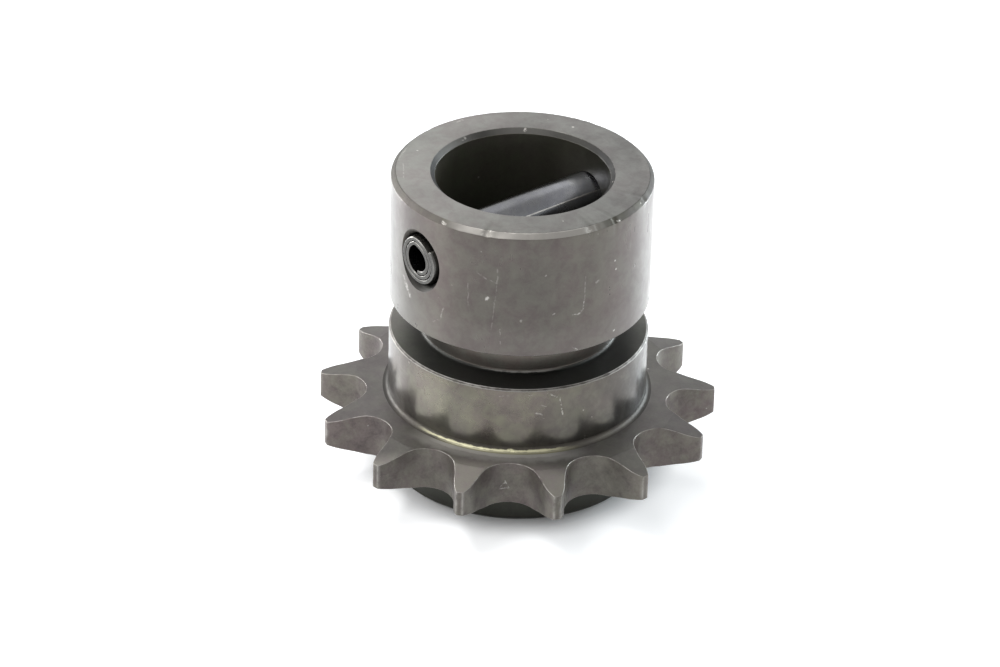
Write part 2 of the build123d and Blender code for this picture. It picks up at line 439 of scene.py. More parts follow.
# %% Cut the hole, and give its walls a zone of their own
drill_piece = show("drill", drill)
cut = sprocket.modifiers.new("cross hole", "BOOLEAN")
cut.operation, cut.solver, cut.object = "DIFFERENCE", "EXACT", drill_piece
drilled = bpy.data.meshes.new_from_object(
    sprocket.evaluated_get(bpy.context.evaluated_depsgraph_get()))
sprocket.modifiers.clear()
sprocket.data = drilled
bpy.data.objects.remove(drill_piece)
centres = np.zeros(3 * len(drilled.polygons))
drilled.polygons.foreach_get("center", centres)
x, y, z = centres.reshape(-1, 3).T * 1000
numbers = np.zeros(len(x), np.int32)
drilled.polygons.foreach_get("material_index", numbers)
from_pin = np.hypot(x, z - PIN_HEIGHT)
in_sink = (from_pin < SINK_RADIUS) & (abs(y) > 17.5) & (np.hypot(x, y) < HUB - 0.02)
numbers[(from_pin < PIN_RADIUS + 0.01) | in_sink] = ZONES.index("cross_hole")
drilled.polygons.foreach_set("material_index", numbers)
drilled.set_sharp_from_angle(angle=np.radians(33))
triangles = sum(len(face.vertices) - 2 for face in drilled.polygons)
print("sprocket skin:", triangles, "triangles")

# %% [markdown]
# ## The coiled pin
#
# A coiled pin is a strip of spring steel, 0.71 mm thick, rolled up two and two fifths turns. The
# outer layer is a true circle. Near the outer edge the strip steps inwards to pass under it, in
# two tangent arcs, and that leaves the crescent you can see at the pin's end. The ends are
# squeezed a little smaller so that the pin starts in its hole. The strip's middle line is a
# chain of arcs, and its wall is that line moved half a thickness to each side.

# %% The strip's middle line and its normals
STRIP, COIL_GAP = 0.71, 0.03
COIL_TURN, STEP_TURN, SEAM = 864, 76, 44.4  # degrees: all of it, each step, the outer edge
DEGREES_APART = 5  # from point to point


def coil_line():
    """Points along the strip's middle, with the unit vector out of each arc's centre.

    A layer is an arc about the pin's axis. The step is two arcs of half its turn each: the first
    tighter than the layer, the second wider, with centres placed so that the tangents agree.
    """
    half = np.radians(STEP_TURN / 2)
    drop = STRIP + COIL_GAP
    lean = np.sin(half) * np.tan(half) + np.cos(half) - 1
    points, normals = [], []
    outer, turned = PIN_RADIUS, 0
    while turned < COIL_TURN:
        layer = min(360 - STEP_TURN, COIL_TURN - turned)
        start = SEAM - turned
        arcs = [(0j, outer, start, layer)]
        if turned + layer < COIL_TURN:
            wide = outer - drop + drop / lean * np.sin(half) / np.sin(2 * half)
            tight = wide - drop / lean
            tight_centre = (outer - tight) * np.exp(1j * np.radians(start - layer))
            turned_to = np.radians(start - layer - STEP_TURN / 2)
            wide_centre = tight_centre + (tight - wide) * np.exp(1j * turned_to)
            arcs += [(tight_centre, tight, start - layer, STEP_TURN / 2),
                     (wide_centre, wide, start - layer - STEP_TURN / 2, STEP_TURN / 2)]
        for centre, wall, begin, turn in arcs:
            count = int(round(turn / DEGREES_APART))
            points.append(arc(centre, wall - STRIP / 2, begin, -turn, count))
            normals.append(arc(0, 1, begin, -turn, count))
        turned += 360
        outer -= drop
    return np.concatenate(points), np.concatenate(normals)


middle, sideways = coil_line()
print(len(middle), "points along the strip,", f"{abs(np.diff(middle)).sum():.1f} mm of it")

# %% The strip's skin
PIN_HALF, SWAGE, SWAGE_SHARE = 19.05, 1.8, 7.2 / 7.94
STRIP_EASE = 0.1  # rounding on the strip's long edges
END_ROUND = 0.17  # rounding all round its ends, from tumbling
END_SLACK = 0.04  # at the ends, how far each side of the strip draws back from its neighbour


def strip_skin():
    """A loop round the strip's section, carried along the pin.

    The loop runs down the outer wall and back up the inner one, moved half a thickness h from
    the middle line, and its two ends turn through a few points that pull in by the easing.
    Along the pin, rings shrink with the swage towards each end, turn over the end's edge through
    a quarter round, and close in on the middle line, so the ends are capped.
    """
    last = len(middle) - 1
    index = np.concatenate([np.arange(last + 1), [last] * 3, np.arange(last, -1, -1), [0] * 3])
    side = np.concatenate([np.full(last + 1, 1.0), [0.7, 0, -0.7], np.full(last + 1, -1.0),
                           [-0.7, 0, 0.7]])
    ease = np.zeros(len(index))
    ease[[0, last, last + 4, 2 * last + 4]] = STRIP_EASE
    along = np.gradient(middle)
    along /= abs(along)
    away = np.where(index == 0, 1, 0) - np.where(index == last, 1, 0)
    base = middle[index] + along[index] * away * ease
    turn = np.radians([0, 22, 45, 67, 90])
    pulls = np.concatenate([[END_ROUND] * 2, END_ROUND * (1 - np.sin(turn)), [0] * 6])
    depths = np.concatenate([[0] * 2, END_ROUND * (1 - np.cos(turn)),
                             [0.35, 0.8, 1.3, SWAGE, SWAGE + 0.5, SWAGE + 6]])
    shrinks = np.concatenate([[0, 0.45], np.ones(len(pulls) - 2)])
    into_swage = np.clip(1 - depths / SWAGE, 0, 1)
    thickness = (STRIP / 2 - END_SLACK * into_swage - pulls) * shrinks
    swage = 1 - (1 - SWAGE_SHARE) * into_swage
    loops = (base + sideways[index] * side * thickness[:, None]) * swage[:, None]
    loops = np.concatenate([loops, loops[::-1]])
    from_middle = PIN_HALF - depths
    y = np.concatenate([-from_middle, from_middle[::-1]])[:, None] + 0 * loops.real
    return np.stack([loops.real, y, PIN_HEIGHT + loops.imag], -1)


strip_rings = strip_skin()[:, ::-1]
at_end = abs(strip_rings[:-1, 0, 1]) > PIN_HALF - SWAGE
pin = show("rolled_pin", grid_mesh("rolled_pin", strip_rings, False, at_end.astype(int)))
print("strip's skin:", strip_rings.shape[0], "rings by", strip_rings.shape[1], "columns")

# %% Where the pin is rubbed bright, and where a band of painted highlight runs along it
HIGHLIGHT_AT, HIGHLIGHT_REACH = 69, 6  # the middle and half width of a painted highlight band, in loop points
BESIDE_SEAM, BESIDE_SHEEN = 30, 0.45  # loop points next to the seam, and how much painted sheen they get
seam = np.zeros(strip_rings.shape[1])
seam[[-1, 0, 1, 2]] = (1, 1, 1, 0.5)
to_end = PIN_HALF - abs(strip_rings[:, :, 1])
rubbed = np.where((to_end > 0.01) & (to_end < END_ROUND - 0.01), 0.5, seam)
# A painted highlight band along the strip, and a painted sheen beside the seam. The rest gets
# painted shade in its finish.
along_strip = np.arange(len(seam))[::-1]
painted_light = np.exp(-(((along_strip - HIGHLIGHT_AT) / HIGHLIGHT_REACH) ** 2))
painted_light += BESIDE_SHEEN * (along_strip < BESIDE_SEAM)
store(pin, "worn_edge", rubbed)
store(pin, "painted_highlight", np.tile(painted_light, len(strip_rings)))
merge_close(pin.data, 2e-7)
pin.data.set_sharp_from_angle(angle=np.radians(40))
print("pin:", len(pin.data.polygons), "faces")

# %% [markdown]
# ## Node groups shared by the finishes
#
# Six effects turn up in more than one finish, so each is a node group, built once: rings left by
# the turning tool, cloudy oil, small nicks, single scored lines, rings round the hub, rubbed
# bright in some finishes and painted as highlights in others, and edges rubbed bright where a
# value on the points says so. A group gives out only masks and heights, and each material
# decides what they do.


# %% Helpers for building node trees
def put(tree, kind, inputs=None, **settings):
    """Adds a node, sets its properties, and feeds each input from a socket or a value."""
    made = tree.nodes.new(kind)
    for key, value in settings.items():
        setattr(made, key, value)
    for key, value in (inputs or {}).items():
        if isinstance(value, bpy.types.NodeSocket):
            tree.links.new(value, made.inputs[key])
        else:
            made.inputs[key].default_value = value
    return made


def sums(tree, operation, *values, clamp=False):
    """A Math node's result for up to three values or sockets."""
    return put(tree, "ShaderNodeMath", dict(enumerate(values)), operation=operation,
               use_clamp=clamp).outputs[0]


def vectors(tree, operation, *values):
    """A Vector Math node's result, which is a number for a length or a dot product."""
    made = put(tree, "ShaderNodeVectorMath", dict(enumerate(values)), operation=operation)
    return made.outputs[int(operation in ("LENGTH", "DOT_PRODUCT"))]


def scaled(tree, vector, scale):
    """A vector or a colour times a number."""
    return put(tree, "ShaderNodeVectorMath", {0: vector, "Scale": scale},
               operation="SCALE").outputs[0]


def ramp(tree, value, low, high, to_low=0.0, to_high=1.0):
    """A smooth step of value from low to high."""
    return put(tree, "ShaderNodeMapRange",
               {"Value": value, "From Min": low, "From Max": high, "To Min": to_low,
                "To Max": to_high}, interpolation_type="SMOOTHSTEP").outputs[0]


def noise(tree, place, scale, detail=2.0, roughness=0.5, distortion=0.0, result="Fac"):
    """A Noise Texture's value or colour. Scale is in blobs to the metre."""
    return put(tree, "ShaderNodeTexNoise",
               {"Vector": place, "Scale": scale, "Detail": detail, "Roughness": roughness,
                "Distortion": distortion}).outputs[result]


def blend(tree, share, first, second):
    """A colour mixed from first to second by share. Plain triples are taken as colours."""
    first, second = ((*c, 1) if isinstance(c, tuple) else c for c in (first, second))
    return put(tree, "ShaderNodeMix", {0: share, 6: first, 7: second},
               data_type="RGBA").outputs[2]


# %% Helpers for groups and places
def bare_tree(owner):
    """The empty node tree of a material or a world."""
    owner.use_nodes = True
    owner.node_tree.nodes.clear()
    return owner.node_tree


def group(name, **inputs):
    """A new node group that takes a Place and other named inputs, each with a default."""
    tree = bpy.data.node_groups.new(name, "ShaderNodeTree")
    for label, default in {"Place": (0.0, 0.0, 0.0), **inputs}.items():
        kind = "NodeSocketVector" if isinstance(default, tuple) else "NodeSocketFloat"
        tree.interface.new_socket(label, in_out="INPUT", socket_type=kind).default_value = default
    return tree, put(tree, "NodeGroupInput").outputs


def give_out(tree, **results):
    """The end of a node group: hands out each result, which is a number, under its name."""
    for label in results:
        tree.interface.new_socket(label, in_out="OUTPUT", socket_type="NodeSocketFloat")
    put(tree, "NodeGroupOutput", results)
    print(f"{tree.name}: {len(tree.nodes)} nodes")


def use(tree, name, values):
    """The outputs of a node group placed with these inputs."""
    return put(tree, "ShaderNodeGroup", values, node_tree=bpy.data.node_groups[name]).outputs


def object_place(tree):
    """Where a point lies on the object, in metres."""
    return put(tree, "ShaderNodeTexCoord").outputs["Object"]


def in_section(tree, place):
    """Where a place falls in the hub's half section: its distance from the axis, its height."""
    level = vectors(tree, "MULTIPLY", place, (1, 1, 0))
    return vectors(tree, "LENGTH", level), put(tree, "ShaderNodeSeparateXYZ",
                                               {0: place}).outputs["Z"]


def ragged_by(tree, mask, amount):
    """The mask itself where the amount is 1, fading to a plain 1 where it is 0."""
    return sums(tree, "MULTIPLY_ADD", sums(tree, "SUBTRACT", mask, 1.0), amount, 1.0)


# %% [markdown]
# ### Rings of the turning tool
#
# A tool that feeds along a turning bar leaves a fine thread of grooves. They run round the axis,
# so their pattern depends only on the distance from the axis and on the height. Noise read at
# that pair gives rings on a cylinder and on a face alike.

# %% Group: tool rings
tree, given = group("tool rings")
reach, height = in_section(tree, given["Place"])
ring_place = put(tree, "ShaderNodeCombineXYZ", {0: reach, 1: height, 2: 0.0}).outputs[0]
fine = noise(tree, ring_place, 4000.0, 1.0)
patches = noise(tree, given["Place"], 160.0)
give_out(tree, Height=sums(tree, "MULTIPLY", fine, ramp(tree, patches, 0.3, 0.6)),
         Tone=noise(tree, ring_place, 600.0))

# %% [markdown]
# ### Oil
#
# Oil and the salt bath don't take evenly. They leave clouds a few millimetres across, and
# smears drawn up and down the hub by fingers and cloths. Noises of four sizes do this, one of
# them squeezed so that its clouds stand tall.

# %% Group: oil clouds
tree, given = group("oil clouds")
tall = vectors(tree, "MULTIPLY", given["Place"], (1.0, 1.0, 0.14))
clouds = noise(tree, given["Place"], 150.0, 4.0, 0.55, 0.5)
smears = noise(tree, tall, 420.0, 3.0, 0.5, 0.6)
film = noise(tree, given["Place"], 60.0, 2.0, 0.5, 0.8)
mottle = noise(tree, given["Place"], 480.0, 5.0, 0.68, 0.4)
spread = sums(tree, "MULTIPLY_ADD", mottle, 0.6, sums(tree, "MULTIPLY", film, 0.4))
give_out(tree, Clouds=ramp(tree, clouds, 0.3, 0.7), Smears=ramp(tree, smears, 0.35, 0.72),
         Film=ramp(tree, spread, 0.38, 0.62),
         Mottle=sums(tree, "MULTIPLY_ADD", mottle, 2.0, -1.0))

# %% [markdown]
# ### Nicks
#
# Nicks are small bright spots where a blow has gone through the dark skin to fresh steel. Cells
# of a Voronoi texture place them: each cell has a point, a random colour decides whether it
# has a nick at all, and the distance to the point makes the spot.

# %% Group: nicks
tree, given = group("nicks", Share=0.2, Size=0.1)
cells = put(tree, "ShaderNodeTexVoronoi", {"Vector": given["Place"], "Scale": 480.0}).outputs
lot = put(tree, "ShaderNodeSeparateColor", {0: cells["Color"]}).outputs
chosen = sums(tree, "LESS_THAN", lot["Red"], given["Share"])
size = sums(tree, "MULTIPLY", given["Size"], sums(tree, "ADD", lot["Green"], 0.3))
spot = sums(tree, "SUBTRACT", 1.0, sums(tree, "DIVIDE", cells["Distance"], size), clamp=True)
strength = sums(tree, "MULTIPLY_ADD", lot["Blue"], 0.8, 0.2)
spot = sums(tree, "MULTIPLY", ramp(tree, spot, 0.0, 0.6), strength)
give_out(tree, Mask=sums(tree, "MULTIPLY", spot, chosen))

# %% [markdown]
# ### Scored lines
#
# A few scratches are long enough to be seen one by one. Each is the set of points near a
# segment: drop a perpendicular to the line from A to B, hold its foot between the two ends, and
# measure how far away it is.

# %% Group: scored line
tree, given = group("scored line", From=(0.0, 0.0, 0.0), To=(0.0, 0.0, 1.0), Width=0.0001)
span = vectors(tree, "SUBTRACT", given["To"], given["From"])
offset = vectors(tree, "SUBTRACT", given["Place"], given["From"])
share = sums(tree, "DIVIDE", vectors(tree, "DOT_PRODUCT", offset, span),
             vectors(tree, "DOT_PRODUCT", span, span), clamp=True)
away = vectors(tree, "LENGTH", vectors(tree, "SUBTRACT", offset, scaled(tree, span, share)))
near = sums(tree, "SUBTRACT", 1.0, sums(tree, "DIVIDE", away, given["Width"]), clamp=True)
give_out(tree, Mask=ramp(tree, near, 0.0, 0.7))

# %% [markdown]
# ### Edges worn round the hub, and painted highlights
#
# Handling rubs the dark skin off sharp edges first. On a turned part an edge is a circle, known
# by its radius and height, so the wear is the distance to that circle in the half section. Noise
# makes it ragged, and it fades away from the side that it faces. Made wide and turned to one
# side, the same ring also paints highlights, reflections and pools of light.

# %% Group: ring of wear and of painted highlights
tree, given = group("wear or highlight ring", Radius=0.01, Height=0.01, Width=0.0002,
                    Facing=(0.0, 0.0, 0.0), Least=-1.0, Ragged=1.0)
reach, height = in_section(tree, given["Place"])
off = put(tree, "ShaderNodeCombineXYZ", {0: sums(tree, "SUBTRACT", reach, given["Radius"]),
                                         1: sums(tree, "SUBTRACT", height, given["Height"]),
                                         2: 0.0}).outputs[0]
patchy = ramp(tree, noise(tree, given["Place"], 700.0, 4.0, 0.6), 0.3, 0.66, 0.35, 1.25)
width = sums(tree, "MULTIPLY", given["Width"], ragged_by(tree, patchy, given["Ragged"]))
near = sums(tree, "DIVIDE", vectors(tree, "LENGTH", off), width)
near = ramp(tree, sums(tree, "SUBTRACT", 1.0, near, clamp=True), 0.0, 0.6)
outwards = vectors(tree, "NORMALIZE", vectors(tree, "MULTIPLY", given["Place"], (1, 1, 0)))
turned_to = vectors(tree, "DOT_PRODUCT", outwards, given["Facing"])
faces_it = ramp(tree, sums(tree, "SUBTRACT", turned_to, given["Least"]), 0.0, 0.15)
give_out(tree, Mask=sums(tree, "MULTIPLY", near, faces_it))

# %% [markdown]
# ### Edges worn round the teeth and on the strip
#
# These edges are no circles, so their wear comes from the value stored on the points when the
# rings were made: one on the round of a tooth's edge and along the strip's seam, a half on the
# strip's ends, and zero on the sides.

# %% Group: worn edge
tree, given = group("worn edge", Ragged=1.0)
stored = put(tree, "ShaderNodeAttribute", attribute_name="worn_edge").outputs["Fac"]
patchy = ramp(tree, noise(tree, given["Place"], 500.0, 4.0, 0.65), 0.36, 0.6)
patchy = ragged_by(tree, patchy, given["Ragged"])
give_out(tree, Mask=sums(tree, "MULTIPLY", ramp(tree, stored, 0.1, 0.8), patchy))

# %% [markdown]
# ## The finishes
#
# Dark steel is still metal: what you see in it is almost wholly its surroundings, held down by
# a dark skin and blurred by roughness. So each finish is a metal, or mostly one, with a dark
# warm colour, and a thin coat where there is oil. The zones differ most in roughness. The
# finishing tool left the lower collar smooth enough to mirror the teeth in front of it, while
# the hobbed plate is dull.
#
# One recipe serves them all, in three steps. The first gathers every mask of bare metal and of
# painted highlight with MAXIMUM. The second works out how light the dark skin is, painted light
# and shade included. The third mixes two tints, a brown and an olive, by the film of oil, and
# puts it all together.
#
# The skin of most zones is also painted lighter or darker towards one side. Those fades are
# painted light and shade, standing in for things in the room that the panels leave out. They run
# along the part's own directions, so they stay where they are when you look from elsewhere.

# %% Directions on the part, and how much each effect tells
UP, ALONG_PIN = (0.0, 0.0, 1.0), (0.0, 1.0, 0.0)
TO_50, TO_140 = (0.638, 0.770, 0.0), (-0.770, 0.638, 0.0)  # degrees round the hub from +X
TO_314 = (0.69, -0.72, 0.0)
PAINTED_LIGHT_WAY = (-32.0, -38.0, 0.0)  # painted light, rising towards 230 degrees, gaining one in 20 mm
BARE_OR_HIGHLIGHT = (0.40, 0.385, 0.36)  # fresh steel, also the colour of most painted highlights
SHAKEN_SCALE, SHAKEN_BY = 900.0, 0.0006  # blobs to the metre, and metres from end to end
THIN = 0.5  # mm, under which a ring, worn or painted, is ragged
EDGE_WEAR, WEAR_DEPTH = 0.55, -0.2
SMEARS_LIGHTEN, SMEARS_ROUGHEN, CLOUDS_SMOOTH = 0.04, 0.05, -0.06
print("bare steel reflects", BARE_OR_HIGHLIGHT)


# %% Step one: where bare metal and painted highlights show
def wear_and_highlights(tree, place, nicks=0.2, nick_size=0.1, marks=(), edges=(), rubbed=None):
    """The greatest of the masks: nicks, scratches, worn and painted-bright rings, stored wear.

    A mark is two ends, a width and a strength. An edge is a ring's radius and height, a width
    and a strength, the angle that it faces and how far it spreads to each side. A wide ring that
    faces one way is a painted highlight. Rubbed says how ragged the wear stored on the points is.
    Nicks and marks are drawn at a place that noise has shifted a little, so that none is
    perfectly straight or round.
    """
    shift = noise(tree, place, SHAKEN_SCALE, result="Color")
    shift = vectors(tree, "SUBTRACT", shift, (0.5, 0.5, 0.5))
    shaken = vectors(tree, "ADD", place, scaled(tree, shift, SHAKEN_BY))
    masks = [use(tree, "nicks", {"Place": shaken, "Share": nicks, "Size": nick_size})["Mask"]]
    broken = ramp(tree, noise(tree, place, 2400.0), 0.36, 0.62, 0.05, 0.8)
    for start, end, width, strength in marks:
        line = use(tree, "scored line", {"Place": shaken, "From": start, "To": end,
                                         "Width": width})["Mask"]
        masks.append(sums(tree, "MULTIPLY", sums(tree, "MULTIPLY", line, strength), broken))
    for radius, height, width, strength, facing, spread in edges:
        turn = np.radians(facing)
        ring = use(tree, "wear or highlight ring", {
            "Place": place, "Radius": radius / 1000, "Height": height / 1000,
            "Width": width / 1000, "Facing": (np.cos(turn), np.sin(turn), 0.0),
            "Least": np.cos(np.radians(spread)) - 0.1,
            "Ragged": 1.0 if width < THIN else 0.25})["Mask"]
        masks.append(sums(tree, "MULTIPLY", ring, strength))
    if rubbed is not None:
        edge = use(tree, "worn edge", {"Place": place, "Ragged": rubbed})["Mask"]
        masks.append(sums(tree, "MULTIPLY", edge, EDGE_WEAR))
    greatest = masks[0]
    for mask in masks[1:]:
        greatest = sums(tree, "MAXIMUM", greatest, mask)
    return greatest


# %% Step two: how light the dark skin is, painted light and shade included
def skin_level(tree, place, oil, rings, cloudy=0.16, mottled=0.25, grain=0.3, ring_tone=0.04,
               painted_light=0.0, front=None, fades=(), painted_shade=0.0):
    """One, raised and lowered by the clouds, smears, mottle, tool rings and grain, and then
    multiplied by each fade of painted light and shade.

    A painted slope of light is added: its amount times the distance along the slope's way. Front
    is an amount of painted light, or of painted shade where it is below zero, added in a smooth
    step between two places along TO_314. A fade is painted light and shade: a direction, two
    places along it, and the share of light left at each. Places are in millimetres. The painted
    shade is the share of light left where the points lie outside the pin's painted highlight.
    """
    level = 1 - (cloudy + grain) / 2
    speckle = noise(tree, place, 2400.0, 3.0, 0.7)
    for source, amount in ((oil["Clouds"], cloudy), (oil["Smears"], SMEARS_LIGHTEN),
                           (oil["Mottle"], mottled), (rings, ring_tone), (speckle, grain)):
        level = sums(tree, "MULTIPLY_ADD", source, amount, level)
    # Painted light and shade: a slope, a step along TO_314, fades, and the pin's highlight band.
    if painted_light:
        side = vectors(tree, "DOT_PRODUCT", place, PAINTED_LIGHT_WAY)
        level = sums(tree, "MULTIPLY_ADD", side, painted_light, level)
    if front:
        amount, start, end = front
        side = vectors(tree, "DOT_PRODUCT", place, TO_314)
        added = ramp(tree, side, start / 1000, end / 1000, 0.0, amount)
        level = sums(tree, "ADD", level, added)
    for direction, start, end, at_start, at_end in fades:
        side = vectors(tree, "DOT_PRODUCT", place, direction)
        left = ramp(tree, side, start / 1000, end / 1000, at_start, at_end)
        level = sums(tree, "MULTIPLY", level, left)
    if painted_shade:
        highlit = put(tree, "ShaderNodeAttribute", attribute_name="painted_highlight").outputs["Fac"]
        level = sums(tree, "MULTIPLY", level, ramp(tree, highlit, 0.0, 1.0, painted_shade, 1.0))
    return level


# %% Step three: the whole recipe
def dark_steel(name, brown, olive, rough, bare_or_highlight=BARE_OR_HIGHLIGHT, coat=0.3, metallic=1.0, turned=0.0,
               ring_height=0.03, rugged=0.0, skin=None, wear=None):
    """Makes a material: a metal mixed from brown to olive by the oil's film, times the skin's
    level with its painted light and shade, and turned to fresh steel or a painted highlight by
    the mask of wear. Turned stretches its gloss round the axis as fine tool rings do. The rings
    and a rugged noise stand up in its relief, and the mask of wear and highlights is sunk."""
    tree = bare_tree(bpy.data.materials.new(name))
    place = object_place(tree)
    oil = use(tree, "oil clouds", {"Place": place})
    turning = use(tree, "tool rings", {"Place": place})
    # The mask of wear and of painted highlights, and the level with its painted light and shade.
    mask = wear_and_highlights(tree, place, **(wear or {}))
    level = skin_level(tree, place, oil, turning["Tone"], **(skin or {}))
    tint = scaled(tree, blend(tree, oil["Film"], brown, olive), level)
    colour = blend(tree, mask, tint, bare_or_highlight)

    roughness = sums(tree, "MULTIPLY_ADD", oil["Smears"], SMEARS_ROUGHEN, rough - 0.02)
    roughness = sums(tree, "MULTIPLY_ADD", oil["Clouds"], CLOUDS_SMOOTH, roughness)
    relief = sums(tree, "MULTIPLY", turning["Height"], ring_height)
    relief = sums(tree, "MULTIPLY_ADD", mask, WEAR_DEPTH, relief)
    if rugged:
        relief = sums(tree, "MULTIPLY_ADD", noise(tree, place, 5200.0, 2.0, 0.6), rugged, relief)
    bump = put(tree, "ShaderNodeBump", {"Height": relief, "Strength": 0.4, "Distance": 0.0002})
    film = sums(tree, "MULTIPLY_ADD", oil["Film"], 0.4 * coat, 0.8 * coat) if coat else 0.0
    shader = put(tree, "ShaderNodeBsdfPrincipled",
                 {"Base Color": colour, "Roughness": roughness,
                  "Metallic": metallic, "Anisotropic": turned, "Anisotropic Rotation": 0.25,
                  "Coat Weight": film, "Coat Roughness": 0.3, "Normal": bump.outputs[0]})
    if turned:
        lay = put(tree, "ShaderNodeTangent", direction_type="RADIAL", axis="Z")
        tree.links.new(lay.outputs[0], shader.inputs["Tangent"])
    put(tree, "ShaderNodeOutputMaterial", {"Surface": shader.outputs[0]})
    print(f"{name}: {len(tree.nodes)} nodes")


# %% [markdown]
# ### Where the scratches are
#
# The marks that can be picked out one by one are listed: an angle round the hub in degrees
# and a height in millimetres for each end, then a width and a strength. A short thick line makes
# a nick, and a scratch that bends is two or three lines.


# %% A scratch's ends
def on_hub(degrees, height, radius=HUB):
    """The point in metres at an angle, a height and a radius from the hub's axis."""
    turn = np.radians(degrees)
    return (radius * np.cos(turn) / 1000, radius * np.sin(turn) / 1000, height / 1000)


def scratches(lines, radius=HUB):
    """Each line's two ends as points on the hub, with its width in metres and strength."""
    return [(on_hub(a, low, radius), on_hub(b, high, radius), width / 1000, strength)
            for a, low, b, high, width, strength in lines]


# %% Scratches on the two collars and in a tooth space
UPPER_MARKS = scratches([
    (-54, 36.7, -53.6, 37.0, 0.36, 1.0), (-58.5, 41, -54, 40, 0.14, 0.28),
    (-54, 40, -49.5, 39.6, 0.14, 0.35), (-49.6, 39.6, -49.4, 42, 0.16, 0.25),
    (-49.7, 39.5, -51.5, 32, 0.14, 0.17), (-62.6, 38.8, -62.3, 35.2, 0.16, 0.24),
    (-5, 38.4, -4, 38.6, 0.34, 0.55), (-10.4, 40, -10.8, 36.2, 0.13, 0.3),
    (-10.8, 36, -11.2, 34.8, 0.17, 0.8), (-11.3, 34.7, -13, 34, 0.17, 0.9),
    (-13.5, 33.9, -16, 34, 0.15, 0.6), (-24.7, 34.5, -24.2, 34.7, 0.2, 0.6),
    (-28.8, 41, -28.4, 41.2, 0.18, 0.5), (-39, 33.5, -38.7, 33.7, 0.22, 0.45),
    (-74.5, 33.4, -76, 31.4, 0.16, 0.45), (-76, 31.4, -80, 30.6, 0.16, 0.35),
    (-101.2, 34.9, -98.6, 33.7, 0.4, 0.6), (-99.2, 34.0, -97.8, 33.3, 0.5, 0.9),
    (-96.4, 32.8, -95.4, 32.4, 0.45, 1.0), (-47.9, 32, -47.5, 29.6, 0.16, 0.4),
    (-13.3, 28.1, -16, 28.7, 0.2, 0.7)])
LOWER_MARKS = scratches([
    (-26.5, 21.4, -20.8, 20.5, 0.14, 0.6), (-20.8, 20.5, -19.2, 17.6, 0.15, 0.7),
    (-31, 18.3, -28.5, 17.9, 0.2, 0.6), (-29.6, 17, -27.5, 17.4, 0.16, 0.45),
    (-48, 21, -33, 21.3, 0.1, 0.4), (-30, 19.6, -27, 19.4, 0.12, 0.4),
    (120, 20, 128, 15, 0.16, 0.6)])
TOOTH_MARKS = scratches([
    (-46, 7.4, -43.2, 8.6, 0.16, 0.8), (-43.2, 8.9, -41, 7.3, 0.16, 0.8),
    (-45.5, 7.5, -41, 7.7, 0.14, 0.7)], 22.4)
# A short bright stroke on the fillet, drawn in the fillet's painted highlight colour.
FILLET_MARKS = scratches([(-42.6, 12.05, -39.8, 12.05, 0.34, 3.0)], 19.25)
print(len(UPPER_MARKS + LOWER_MARKS + TOOTH_MARKS + FILLET_MARKS), "lines scored")

# %% Scratches on the top face and knocks on its two rims
TOP_MARKS = (scratches([(-150, TOP, -140, TOP, 0.16, 0.5)], 18.1)
             + scratches([(-135, TOP, -120, TOP, 0.14, 0.4)], 17.4)
             + scratches([(171, TOP, 174, TOP, 0.3, 0.5)], 17.6))
RIM_MARKS = scratches([
    (-76.4, 47.2, -74.6, 47.1, 0.3, 1.2), (-66, 47.3, -64, 47.5, 0.3, 0.8),
    (-57.4, 47, -56.6, 47.2, 0.3, 0.8), (-10.4, 47.4, -9, 47.4, 0.26, 1.5),
    (-8.8, 47, -7.8, 47.1, 0.24, 1.5), (-4.6, 47.6, -3.8, 47.6, 0.2, 1.2),
    (0.6, 47.5, 1.8, 47.5, 0.3, 1.6), (6.4, 46.9, 8.2, 47.0, 0.3, 1.6),
    (24, 47.6, 25, 47.5, 0.26, 1.5)], 18.8)
MOUTH_MARKS = scratches([
    (139.5, 47.4, 140.5, 46.7, 0.45, 1.5), (42, 47.2, 43, 47, 0.3, 1.0),
    (-179, 47.4, -177, 47.3, 0.3, 0.7)], 13.2)
print(len(TOP_MARKS + RIM_MARKS + MOUTH_MARKS), "more on the top face and its rims")

# %% [markdown]
# ### One finish for each zone, and two for the pin
#
# Both collars carry a coat of oil and a turned gloss. The fillet at the collar's foot is painted
# dark, and its thin pale line is a painted highlight. The groove is painted almost black, as the
# shade in that recess.

# %% The two collars
# Painted light and shade: darker towards TO_314, lighter then darker towards -TO_50, and painted
# lighter in a broad band above the lower edge, which has a thin bright line facing -60.
dark_steel("upper_collar", (0.086, 0.069, 0.0645), (0.079, 0.0718, 0.0585), 0.34, coat=0.8,
           turned=0.5,
           skin=dict(mottled=0.2, grain=0.15, front=(-0.16, 16, 18.8),
                     fades=[(TO_50, -9, -3, 1.12, 1), (TO_50, -16.8, -13, 0.87, 1)]),
           wear=dict(marks=UPPER_MARKS, edges=[(HUB, GROOVE_HIGH, 0.2, 0.25, -60, 70),
                                               (HUB, GROOVE_HIGH, 6, 0.05, -50, 180)]))
# Painted light and shade: lighter towards 230 degrees, darker at both ends along TO_50 and
# towards the plate, and two broad upright streaks facing -80 and -10 degrees, painted
# reflections.
dark_steel("lower_collar", (0.100, 0.084, 0.074), (0.096, 0.090, 0.064), 0.20, coat=0.7,
           turned=0.6,
           skin=dict(cloudy=0.4, mottled=0.35, painted_light=0.33,
                     fades=[(TO_50, -18.8, -16.8, 0.72, 1), (TO_50, 11.5, 17, 1, 0.68),
                            (UP, 12, 17, 0.7, 1), (TO_50, 3, 10, 1, 0.88)]),
           wear=dict(nicks=0.12, marks=LOWER_MARKS,
                     edges=[(HUB, 17, 6, 0.08, -80, 10), (HUB, 17.5, 6, 0.05, -10, 8)]))

